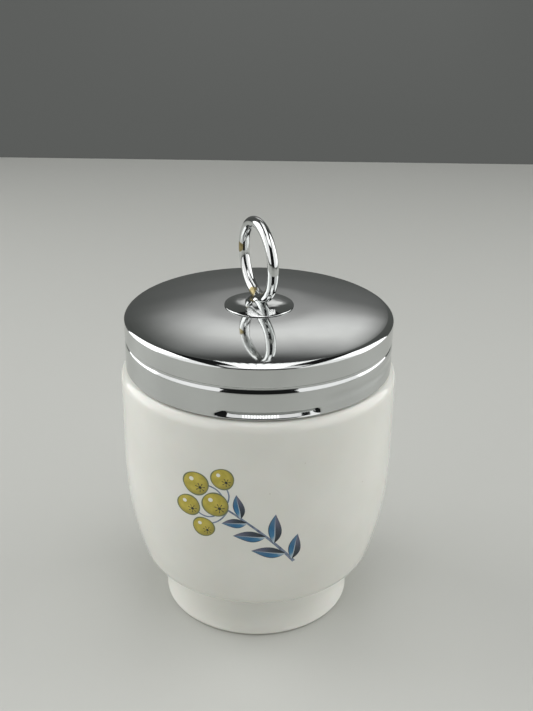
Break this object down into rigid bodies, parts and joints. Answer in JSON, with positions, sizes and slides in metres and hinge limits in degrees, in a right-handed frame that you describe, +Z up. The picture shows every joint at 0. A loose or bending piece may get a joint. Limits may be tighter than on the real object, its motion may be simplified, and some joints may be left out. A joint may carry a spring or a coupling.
{
  "type": "porcelain egg coddler",
  "caption": "Footed porcelain cup with a screw-on spun metal lid, lifted by a fixed wire ring; an egg is cooked in it standing in hot water.",
  "frame": {"origin": "middle of the foot's resting face, on the cup's axis, which is also the middle of the bounding box's underside", "axes": "+Z up along the cup's axis, -Y towards the decorated front, +X to the right seen from the front"},
  "size_m": [0.0644, 0.0644, 0.0972],
  "materials": {
    "porcelain": "white glazed porcelain",
    "lid_plate": "polished chrome plate on spun sheet",
    "boss_plate": "polished chrome plate",
    "ring_plate": "chrome plate worn to brass in places",
    "washer_metal": "dull stamped brass"
  },
  "bodies": {
    "cup": {"cup": "porcelain"},
    "riser": {"backing_washer": "washer_metal"},
    "lid": {"lid_shell": "lid_plate", "ring_boss": "boss_plate", "lifting_ring": "ring_plate"}
  },
  "joints": [
    {"name": "lid_lift", "type": "slide", "parent": "cup", "child": "riser", "axis": [0, 0, 1], "range_m": [0, 0.0125]},
    {"name": "lid_turn", "type": "hinge", "parent": "riser", "child": "lid", "pos_m": [0, 0, 0.0764], "axis": [0, 0, 1], "range_deg": [0, 900]}
  ],
  "couplings": [
    {"joint": "lid_lift", "follows": "lid_turn", "m_per_rad": 0.00079577}
  ]
}
